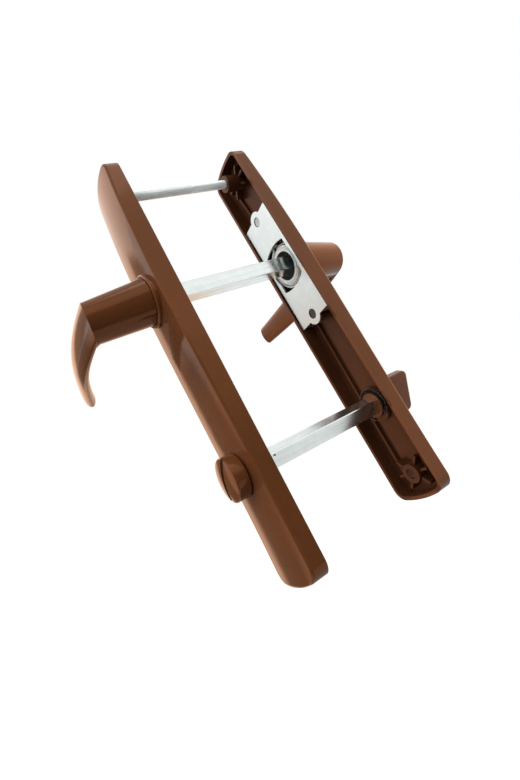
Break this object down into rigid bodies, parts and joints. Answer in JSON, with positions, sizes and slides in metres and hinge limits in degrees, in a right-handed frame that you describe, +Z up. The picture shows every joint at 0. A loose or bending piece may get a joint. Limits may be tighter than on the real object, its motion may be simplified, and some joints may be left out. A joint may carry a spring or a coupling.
{
  "type": "door handle",
  "caption": "Bathroom door handle set: long hollow backplates joined by a screw, sprung levers on a square spindle, and a privacy thumb turn with a coin-slot release knob.",
  "frame": {"origin": "the lever spindle's axis where it crosses the middle of the door leaf", "axes": "+Z up along the plates, +Y through the door to the side with the thumb turn, -X along both levers to their tips"},
  "size_m": [0.1221, 0.163, 0.215],
  "materials": {
    "brown_plate": "gloss brown stoved paint on a zinc casting",
    "brown_lever": "gloss brown stoved paint on a zinc casting",
    "brown_turn": "gloss brown stoved paint on a zinc casting",
    "zinc_spindle": "bright zinc plated bar",
    "zinc_screw": "bright zinc plated screw",
    "cover_steel": "bright zinc plated sheet",
    "rivet_alloy": "plain satin",
    "ring_steel": "spring steel, satin",
    "clip_steel": "blackened spring steel",
    "driver_steel": "plain satin",
    "spring_steel": "drawn wire",
    "bush_plastic": "plain nylon"
  },
  "bodies": {
    "door_plates": {"outer_backplate": "brown_plate", "inner_backplate": "brown_plate", "outer_spring_cover": "cover_steel", "inner_spring_cover": "cover_steel", "outer_cover_rivets": "rivet_alloy", "inner_cover_rivets": "rivet_alloy", "outer_neck_bush": "bush_plastic", "inner_neck_bush": "bush_plastic", "outer_return_spring": "spring_steel", "inner_return_spring": "spring_steel", "top_screw": "zinc_screw"},
    "lever_pair": {"outer_lever": "brown_lever", "inner_lever": "brown_lever", "outer_hub_ring": "ring_steel", "inner_hub_ring": "ring_steel", "outer_spring_driver": "driver_steel", "inner_spring_driver": "driver_steel", "lever_spindle": "zinc_spindle"},
    "privacy_lock": {"release_knob": "brown_turn", "thumb_turn": "brown_turn", "privacy_spindle": "zinc_spindle", "release_knob_clip": "clip_steel", "thumb_turn_clip": "clip_steel"}
  },
  "joints": [
    {"name": "lever_turn", "type": "hinge", "parent": "door_plates", "child": "lever_pair", "pos_m": [0, 0, 0], "axis": [0, -1, 0], "range_deg": [0, 40], "stiffness_Nm_per_rad": 0.8, "springref_deg": -34.38, "deforming": ["outer_return_spring", "inner_return_spring"]},
    {"name": "privacy_turn", "type": "hinge", "parent": "door_plates", "child": "privacy_lock", "pos_m": [0, 0, -0.09], "axis": [0, 1, 0], "range_deg": [-30, 60]}
  ]
}
